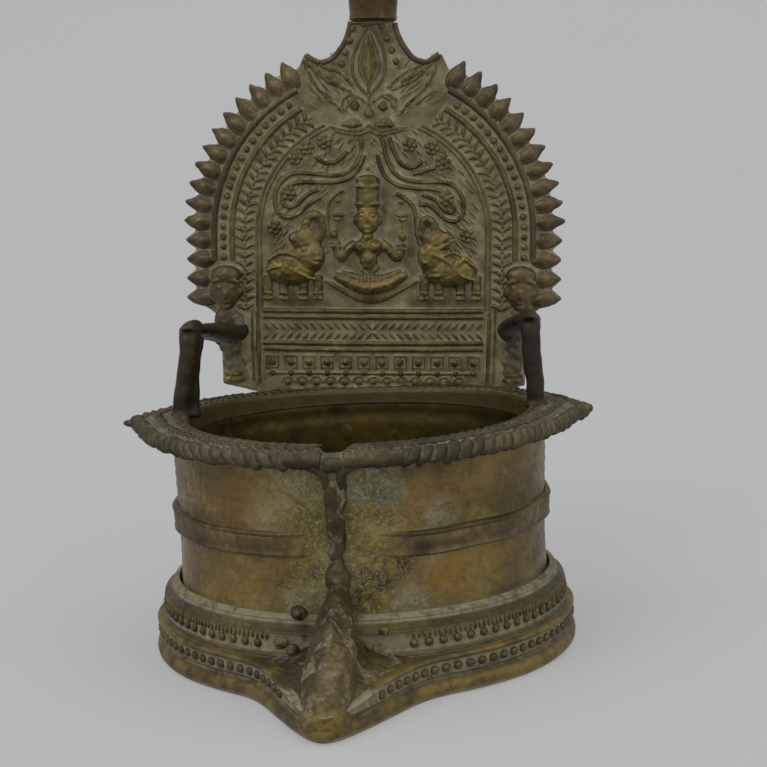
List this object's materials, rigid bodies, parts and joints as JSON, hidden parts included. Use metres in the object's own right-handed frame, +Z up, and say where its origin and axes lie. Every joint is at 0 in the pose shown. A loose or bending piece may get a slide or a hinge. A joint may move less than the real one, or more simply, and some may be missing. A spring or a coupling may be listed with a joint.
{
  "type": "oil lamp",
  "caption": "Cast-brass standing oil lamp: drum reservoir with beaded rim, stepped foot with a pointed toe, and an arched relief back plate held by two struts.",
  "frame": {"origin": "on the ground, under the middle of the lamp's overall box; the reservoir's axis stands 10 mm behind it", "axes": "+Z up, along the lamp's height; the wick spout and the foot's pointed toe face -Y; the back plate is at +Y; +X is the viewer's right"},
  "size_m": [0.1142, 0.1338, 0.1916],
  "materials": {
    "aged_brass": "satin, dark olive-brown patina",
    "dark_brass": "dark reddish-brown patina",
    "relief_brass": "golden worn high points"
  },
  "bodies": {
    "root": {"foot_plinth": "aged_brass", "foot_collar": "aged_brass", "toe_keel": "dark_brass", "reservoir": "aged_brass", "drum_band": "aged_brass", "rim_flange": "aged_brass", "rim_rope_left": "dark_brass", "rim_rope_right": "dark_brass", "wick_lip": "aged_brass", "spout_rib": "dark_brass", "rib_bud": "dark_brass", "back_boss": "aged_brass", "back_plate": "aged_brass", "plate_rivet_left": "dark_brass", "plate_rivet_right": "dark_brass", "strut_left": "dark_brass", "strut_right": "dark_brass", "strut_rivet_left": "dark_brass", "strut_rivet_right": "dark_brass", "outer_rib_left": "relief_brass", "outer_rib_right": "relief_brass", "middle_rib_left": "relief_brass", "middle_rib_right": "relief_brass", "field_rib_left": "relief_brass", "field_rib_right": "relief_brass", "sill_upper": "relief_brass", "sill_lower": "relief_brass", "lotus_seat": "relief_brass", "seated_figure": "relief_brass", "elephant_left": "relief_brass", "elephant_right": "relief_brass", "crest_mask": "relief_brass", "crest_leaf": "relief_brass", "guardian_left": "dark_brass", "guardian_right": "dark_brass", "pilaster_left": "dark_brass", "pilaster_right": "dark_brass", "finial_stem": "aged_brass", "finial_knop": "aged_brass", "finial_bud": "aged_brass"}
  },
  "joints": []
}
